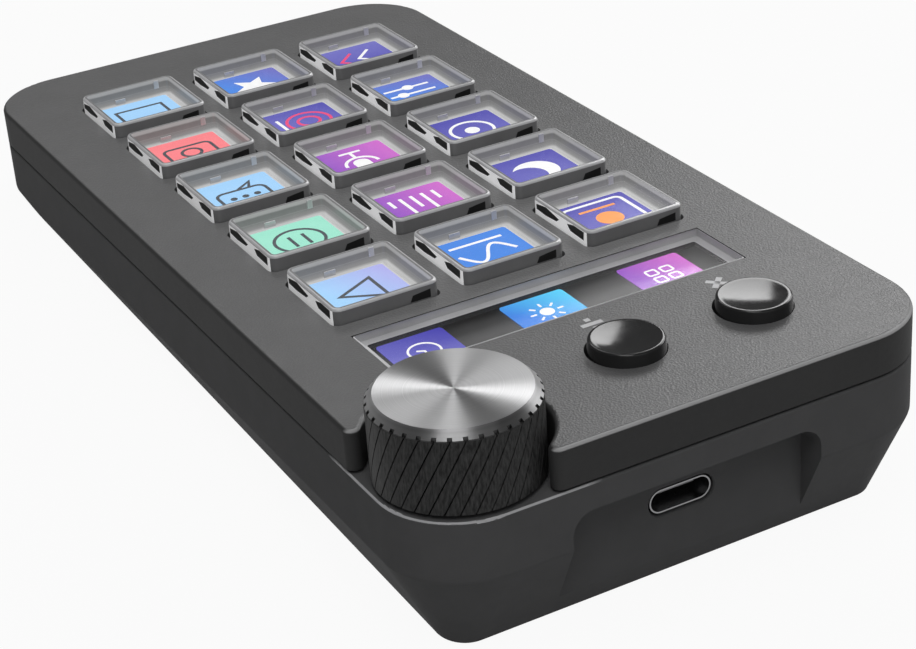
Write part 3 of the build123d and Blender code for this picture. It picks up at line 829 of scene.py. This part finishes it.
for (row, side), (start, end, angle, drawing, *inks) in key_tiles.items():
    name = f"screen_row{row}_{side}"
    bm = bmesh.new()
    tile = rounded_outline(tile_size, tile_size, tile_corner)
    prism(bm, tile, 0, tile_thickness)
    drawing.emboss(bm, tile_size / 2, tile_thickness, tile_thickness + ink_thickness)
    ring_plate(bm, rounded_outline(bezel_size, bezel_size, tile_corner), tile, 0, bezel_thickness, BEZEL)
    place = deck_over(f"keycap_row{row}_{side}")
    looks = [lit_tile(name, start, end, angle), *inks, bezel]
    finish_piece(name, bm, deck_matrix(place, -display_depth), looks, "case")

for side, (step, start, end, angle, drawing) in strip_tiles.items():
    name = f"strip_screen_{side}"
    bm = bmesh.new()
    prism(bm, rounded_outline(strip_tile_size, strip_tile_size, strip_tile_corner), 0, strip_tile_thickness)
    drawing.emboss(bm, strip_icon_size / 2, strip_tile_thickness, strip_tile_thickness + ink_thickness)
    place = deck_over("strip_display") + deck_right * (step * strip_tile_x * MM)
    looks = [lit_tile(name, start, end, angle), white]
    finish_piece(name, bm, deck_matrix(place, -strip_depth), looks, "case")


# Marks printed on the cover in front of the buttons
def make_mark(name, button, shapes):
    bm = bmesh.new()
    for outline in shapes:
        prism(bm, outline, 0, mark_thickness)
    place = deck_over(button) - deck_rear * (mark_offset * MM)
    finish_piece(name, bm, deck_matrix(place), [mark_print], "case")


def bar(x0, y0, x1, y1):
    """Straight bar of the marks' stroke"""
    points = [Vector((x0, y0)), Vector((x1, y1))]
    return sideways(points, -mark_stroke / 2, False) + sideways(points, mark_stroke / 2, False)[::-1]


half = mark_stroke / 2
dot = [Vector(corner) for corner in ((half, half), (-half, half), (-half, -half), (half, -half))]
dot_lift = mark_size * 0.78
reach = mark_size * 0.7
make_mark("divide_mark", "centre_button", [
    bar(-mark_size, 0, mark_size, 0),
    moved(dot, 0, dot_lift),
    moved(dot, 0, -dot_lift),
])
make_mark("multiply_mark", "left_button", [
    bar(-reach, -reach, reach, reach),
    bar(-reach, reach, reach, -reach),
])


# Camera at the photograph's angle
camera_place = Vector((0.12752, 0.24937, 0.17645))
camera_azimuth = 151.41
camera_elevation = 32.616
camera_roll = -1.34
camera_lens = 87.74
camera_sensor = 36.0


def towards(azimuth, elevation):
    """Direction that a camera looks back along, by its azimuth and elevation in degrees"""
    flat = cos(radians(elevation))
    return Vector((sin(radians(azimuth)) * flat, -cos(radians(azimuth)) * flat, sin(radians(elevation))))


camera = bpy.data.objects.new("camera", bpy.data.cameras.new("camera"))
camera.data.lens = camera_lens
camera.data.sensor_width = camera_sensor
camera.data.clip_start = 0.01
camera.rotation_mode = "QUATERNION"
camera.location = camera_place
look = -towards(camera_azimuth, camera_elevation)
camera.rotation_quaternion = look.to_track_quat("-Z", "Y") @ Quaternion((0, 0, 1), radians(camera_roll))
bpy.context.scene.collection.objects.link(camera)
bpy.context.scene.camera = camera
bpy.context.scene.view_settings.view_transform = "Standard"


# Studio: softboxes, floor and a dim world
def softbox(name, place, width, height, power):
    """Oblong area light that faces the object"""
    data = bpy.data.lights.new(name, "AREA")
    data.shape = "RECTANGLE"
    data.size = width
    data.size_y = height
    data.energy = power
    lamp = bpy.data.objects.new(name, data)
    lamp.location = place
    lamp.rotation_mode = "QUATERNION"
    lamp.rotation_quaternion = (-Vector(place)).to_track_quat("-Z", "Y")
    bpy.context.scene.collection.objects.link(lamp)


softbox("overhead_softbox", (0.1, 0.0, 0.995), 0.4, 0.4, 2.0)
softbox("high_softbox", (0.3, 0.42, 0.857), 0.5, 0.4, 2.5)
softbox("front_softbox", (-0.11, -0.74, 0.66), 0.4, 0.4, 1.5)
softbox("right_softbox", (-0.633, -0.591, 0.5), 0.4, 0.3, 2.4)
softbox("side_softbox", (-0.9, -0.2, 0.4), 0.5, 0.5, 3.0)
softbox("rear_softbox", (0.1, 1.0, 0.5), 1.2, 0.6, 1.5)

floor_size = 4.0
floor_white = 0.94
world_strength = 0.12
floor_mesh = bpy.data.meshes.new("floor")
bm = bmesh.new()
bmesh.ops.create_grid(bm, x_segments=1, y_segments=1, size=floor_size)
bm.to_mesh(floor_mesh)
bm.free()
floor_piece = bpy.data.objects.new("floor", floor_mesh)
bpy.context.scene.collection.objects.link(floor_piece)

# The floor is white to the camera, in reflections and through clear plastic, and still keeps a shadow
paper = Surface("floor_paper", Roughness=0.9)
paper.colour(paper.ramp(paper.noise(6), (0.3, grey(0.44)), (0.7, grey(0.46))))
path = paper.node("ShaderNodeLightPath").outputs
seen = paper.math("MAXIMUM", path["Is Camera Ray"], path["Is Glossy Ray"])
seen = paper.math("MAXIMUM", seen, path["Is Transmission Ray"])
glow = paper.node("ShaderNodeEmission", Color=(1, 1, 1, 1), Strength=1.0)
mix = paper.node("ShaderNodeMixShader")
paper.link(paper.math("MULTIPLY", seen, floor_white), mix.inputs["Fac"])
paper.link(paper.shader.outputs["BSDF"], mix.inputs[1])
paper.link(glow.outputs["Emission"], mix.inputs[2])
paper.link(mix.outputs["Shader"], paper.tree.nodes["Material Output"].inputs["Surface"])
floor_mesh.materials.append(paper.material)

world = bpy.data.worlds.new("studio")
bpy.context.scene.world = world
world.use_nodes = True
backdrop = world.node_tree.nodes["Background"]
backdrop.inputs["Color"].default_value = (1, 1, 1, 1)
backdrop.inputs["Strength"].default_value = world_strength
